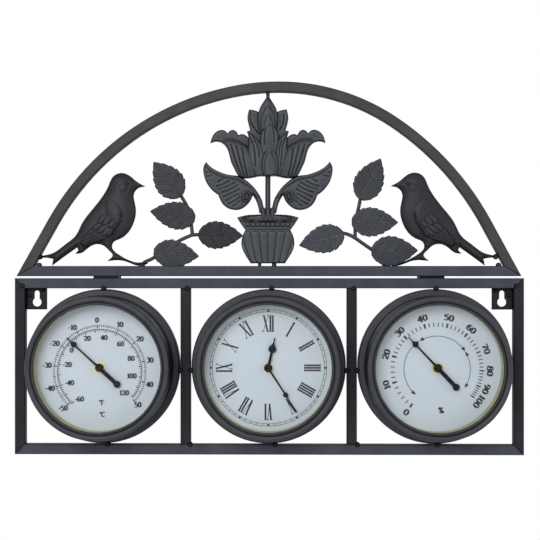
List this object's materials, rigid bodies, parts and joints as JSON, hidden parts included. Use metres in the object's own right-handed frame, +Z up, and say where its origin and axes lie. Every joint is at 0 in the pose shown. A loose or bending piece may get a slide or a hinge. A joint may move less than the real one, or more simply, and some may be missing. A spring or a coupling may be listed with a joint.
{
  "type": "thermometer hygrometer clock",
  "caption": "Wall-hung steel frame with a round thermometer, quartz clock and hygrometer side by side, under a hinged arched panel of cast birds, leaves and a potted flower.",
  "frame": {"origin": "midpoint between the round holes of the two keyholes, on the frame's back plane", "axes": "+X to the viewer's right along the frame, +Y into the wall, +Z up; the dials face -Y"},
  "size_m": [0.5002, 0.0505, 0.3667],
  "materials": {
    "frame_paint": "satin charcoal paint over welded steel tube",
    "panel_paint": "satin warm charcoal paint over bent steel tube",
    "bird_paint": "satin near-black paint over cast metal",
    "ornament_paint": "satin slate paint over cast and pressed metal",
    "case_paint": "satin charcoal paint over spun steel",
    "hinge_black": "black paint",
    "plated_steel": "zinc plated",
    "brass": "turned brass",
    "bimetal": "rolled bimetal strip",
    "dial_glass": "clear flat glass",
    "spacer_card": "olive cream coated strip",
    "dial_face": "pale blue-white matt print on sheet",
    "hand_black": "semi-gloss black",
    "movement_plastic": "moulded black plastic",
    "motor_plastic": "moulded natural plastic",
    "knob_plastic": "moulded grey plastic",
    "board_green": "green solder mask",
    "cell_jacket": "plain printed jacket"
  },
  "bodies": {
    "base": {"frame_top_rail": "frame_paint", "frame_bottom_rail": "frame_paint", "frame_left_post": "frame_paint", "frame_right_post": "frame_paint", "frame_left_divider": "frame_paint", "frame_right_divider": "frame_paint", "keyhole_plate_left": "frame_paint", "keyhole_plate_right": "frame_paint", "frame_weld_beads": "frame_paint", "hinge_lower_leaves": "hinge_black", "hinge_pins": "plated_steel", "thermometer_drum": "case_paint", "thermometer_back_plate": "case_paint", "thermometer_bezel": "case_paint", "thermometer_glass": "dial_glass", "thermometer_spacer_ring": "spacer_card", "thermometer_dial": "dial_face", "clock_drum": "case_paint", "clock_back_plate": "case_paint", "clock_bezel": "case_paint", "clock_glass": "dial_glass", "clock_spacer_ring": "spacer_card", "clock_dial": "dial_face", "hygrometer_drum": "case_paint", "hygrometer_back_plate": "case_paint", "hygrometer_bezel": "case_paint", "hygrometer_glass": "dial_glass", "hygrometer_spacer_ring": "spacer_card", "hygrometer_dial": "dial_face", "back_plate_screws": "plated_steel", "movement_case": "movement_plastic", "movement_cover": "movement_plastic", "motor_block": "motor_plastic", "circuit_board": "board_green", "battery_cell": "cell_jacket", "battery_contacts": "plated_steel", "movement_nut": "brass", "dial_bushes": "brass", "dial_brackets": "plated_steel", "spiral_springs": "bimetal"},
    "arch": {"arch_tube": "panel_paint", "arch_sill": "panel_paint", "hinge_upper_leaves": "hinge_black", "bird_left": "bird_paint", "bird_right": "bird_paint", "stems_left": "ornament_paint", "leaves_left": "ornament_paint", "stems_right": "ornament_paint", "leaves_right": "ornament_paint", "flower_head": "ornament_paint", "flower_stem": "ornament_paint", "scroll_leaves": "ornament_paint", "flower_pot": "ornament_paint", "arch_weld_beads": "panel_paint"},
    "minute_hand": {"minute_hand": "hand_black"},
    "hour_hand": {"hour_hand": "hand_black"},
    "set_knob": {"set_knob": "knob_plastic"},
    "thermometer_pointer": {"thermometer_pointer": "hand_black"},
    "hygrometer_pointer": {"hygrometer_pointer": "hand_black"}
  },
  "joints": [
    {"name": "arch_fold", "type": "hinge", "parent": "base", "child": "arch", "pos_m": [0, 0.0022, 0.0247], "axis": [-1, 0, 0], "range_deg": [0, 180]},
    {"name": "minute_turn", "type": "hinge", "parent": "base", "child": "minute_hand", "pos_m": [0, -0.0307, -0.063], "axis": [0, 1, 0], "continuous": true},
    {"name": "hour_turn", "type": "hinge", "parent": "base", "child": "hour_hand", "pos_m": [0, -0.0293, -0.063], "axis": [0, 1, 0], "continuous": true},
    {"name": "knob_turn", "type": "hinge", "parent": "base", "child": "set_knob", "pos_m": [0, -0.0097, -0.053], "axis": [0, 1, 0], "continuous": true},
    {"name": "thermometer_swing", "type": "hinge", "parent": "base", "child": "thermometer_pointer", "pos_m": [-0.1634, -0.0298, -0.063], "axis": [0, 1, 0], "range_deg": [-91.5, 180.5], "stiffness_Nm_per_rad": 0.002},
    {"name": "hygrometer_swing", "type": "hinge", "parent": "base", "child": "hygrometer_pointer", "pos_m": [0.1634, -0.0298, -0.063], "axis": [0, 1, 0], "range_deg": [-99.9, 173.8], "stiffness_Nm_per_rad": 0.002}
  ],
  "couplings": [
    {"joint": "hour_turn", "follows": "minute_turn", "ratio": 0.083333},
    {"joint": "knob_turn", "follows": "minute_turn", "ratio": -0.33333}
  ]
}
